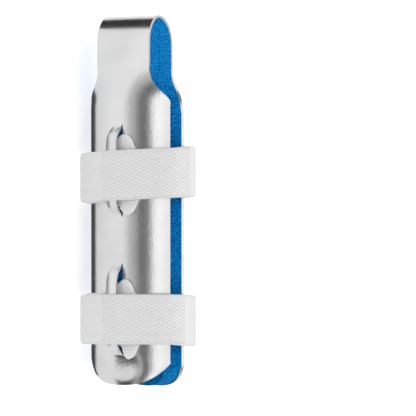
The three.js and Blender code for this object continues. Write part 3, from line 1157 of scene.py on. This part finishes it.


# Each card of painted reflection with its corners, in millimetres along, in depth and up, and how brightly it
# glows
# The dark cards paint shade and dark surroundings into the metal's reflections, and the grey ones paint grey
# tones into them.
PAINTED_REFLECTIONS = (
    ("fold_painted_reflection", [fan_corner(*corner) for corner in FAN], 0.032),
    ("under_painted_shade", [(x, y, 0) for x, y in UNDER], 0.06),
    ("end_painted_reflection", [(95, -28, 1), (118, -28, 1), (210, -168, 1), (99, -168, 1)], 0.03),
    ("back_painted_reflection", flat_card((-4, 98), (55, 220)), 0.06),
    ("near_painted_reflection", flat_card((-900, 900), (-75, -170)), 0.8),
    ("far_painted_reflection", flat_card((-900, 900), (-170, -700), 105), 0.66),
)


def softbox(name, depth, size, power):
    """A softbox over the table. An area light that isn't turned shines straight down."""
    data = bpy.data.lights.new(name, "AREA")
    data.shape = "RECTANGLE"
    data.size, data.size_y = size
    data.energy = power
    light = bpy.data.objects.new(name, data)
    bpy.context.scene.collection.objects.link(light)
    light.location = (0, depth, SOFTBOX_HEIGHT)


def stage_sheet(name, finish, corners, kind, values):
    """A flat sheet that belongs to the stage, with one shader."""
    sheet = object_from(name, corners, [tuple(range(len(corners)))])
    material, tree = new_material(finish)
    shader = add_node(tree, kind, (0, 0), values)
    add_node(tree, "ShaderNodeOutputMaterial", (300, 0), {"Surface": shader.outputs[0]})
    sheet.data.materials.append(material)
    return sheet


def lay_table(settings):
    """A lit white table, just under the straps' woven floats."""
    values = {
        "Base Color": hex_colour(TABLE_COLOUR),
        "Roughness": 0.9,
        "Specular IOR Level": 0.1,
        "Emission Color": (1, 1, 1, 1),
        "Emission Strength": settings.table_glow,
    }
    corners = [(x, y, -settings.table_drop) for x, y in TABLE]
    stage_sheet("floor", "lit_white_table", corners, "ShaderNodeBsdfPrincipled", values)


def lay_painted_reflections():
    """Dark and grey glowing cards, seen only as reflections in the metal: painted reflections, the dark ones
    painting shade into it.
    """
    for name, corners, glow in PAINTED_REFLECTIONS:
        points = [(*place(x, y, 0)[:2], (CARD_LIFT + rise) / 1000) for x, y, rise in corners]
        card = stage_sheet(name, name, points, "ShaderNodeEmission", {"Strength": glow})
        card.visible_camera = False
        card.visible_diffuse = False
        card.visible_shadow = False


def aim_camera(settings):
    """The camera sees the splint as the photograph does, with its fold up in the picture."""
    right = Vector((0, math.sin(settings.yaw), math.cos(settings.yaw)))
    up = Vector((-1, 0, 0))
    away = Vector((0, -math.cos(settings.yaw), math.sin(settings.yaw)))
    target = Vector(place((AIM_PIXEL[1] - FOLD_PIXEL) / settings.scale, 0, 0))
    at = target + away * settings.distance
    pixel = 1 / settings.scale / 1000
    aim = target + pixel * (right * (PICTURE / 2 - AIM_PIXEL[0]) - up * (PICTURE / 2 - AIM_PIXEL[1]))
    back = (at - aim).normalized()
    right = up.cross(back).normalized()
    data = bpy.data.cameras.new("camera")
    data.sensor_width = SENSOR
    data.lens = settings.scale * settings.distance * 1000 / PICTURE * SENSOR
    data.clip_start, data.clip_end = CLIP
    camera = bpy.data.objects.new("camera", data)
    bpy.context.scene.collection.objects.link(camera)
    turned = Matrix((right, back.cross(right), back)).transposed()
    camera.matrix_world = Matrix.Translation(at) @ turned.to_4x4()
    bpy.context.scene.camera = camera


class SPLINT_OT_stage(Operator):
    """Make the floor, the lights and the camera"""

    bl_idname = "splint.stage"
    bl_label = "Stage"

    def execute(self, context):
        settings = context.scene.splint_stage
        scene = context.scene
        scene.view_settings.view_transform = "Standard"
        lay_table(settings)
        scene.world = bpy.data.worlds.new("studio")
        scene.world.use_nodes = True
        background = scene.world.node_tree.nodes["Background"]
        background.inputs["Color"].default_value = hex_colour(ROOM_COLOUR)
        background.inputs["Strength"].default_value = settings.room
        # The gap between the two softboxes leaves a dark band at the camera's height.
        softbox("overhead_softbox", *OVERHEAD, settings.softbox)
        softbox("front_softbox", *FRONT, settings.front_light)
        lay_painted_reflections()
        aim_camera(settings)
        return {"FINISHED"}


class SPLINT_PT_panel(Panel):
    """The splint's pieces and their settings"""

    bl_idname = "SPLINT_PT_panel"
    bl_label = "Finger Splint"
    bl_space_type = "VIEW_3D"
    bl_region_type = "UI"
    bl_category = "Splint"

    def draw(self, context):
        scene = context.scene
        for operator, group in (
            (SPLINT_OT_stage, scene.splint_stage),
            (SPLINT_OT_body, scene.splint_metal),
            (SPLINT_OT_foam, scene.splint_foam),
            (SPLINT_OT_loop_tapes, scene.splint_tape),
            (SPLINT_OT_hook_tapes, None),
        ):
            box = self.layout.box()
            box.operator(operator.bl_idname)
            if group is not None:
                for key in group.__annotations__:
                    box.prop(group, key)


SETTINGS = (
    ("splint_metal", SplintMetalSettings),
    ("splint_foam", SplintFoamSettings),
    ("splint_tape", SplintTapeSettings),
    ("splint_stage", SplintStageSettings),
)
OPERATORS = (SPLINT_OT_stage, SPLINT_OT_body, SPLINT_OT_foam, SPLINT_OT_loop_tapes, SPLINT_OT_hook_tapes)


def register():
    for name, group in SETTINGS:
        bpy.utils.register_class(group)
        setattr(bpy.types.Scene, name, PointerProperty(type=group))
    for operator in OPERATORS:
        bpy.utils.register_class(operator)
    bpy.utils.register_class(SPLINT_PT_panel)


def unregister():
    bpy.utils.unregister_class(SPLINT_PT_panel)
    for operator in reversed(OPERATORS):
        bpy.utils.unregister_class(operator)
    for name, group in reversed(SETTINGS):
        delattr(bpy.types.Scene, name)
        bpy.utils.unregister_class(group)


def main():
    register()
    bpy.ops.splint.stage()
    bpy.ops.splint.body()
    bpy.ops.splint.foam()
    bpy.ops.splint.loop_tapes()
    bpy.ops.splint.hook_tapes()


if __name__ == "__main__":
    main()
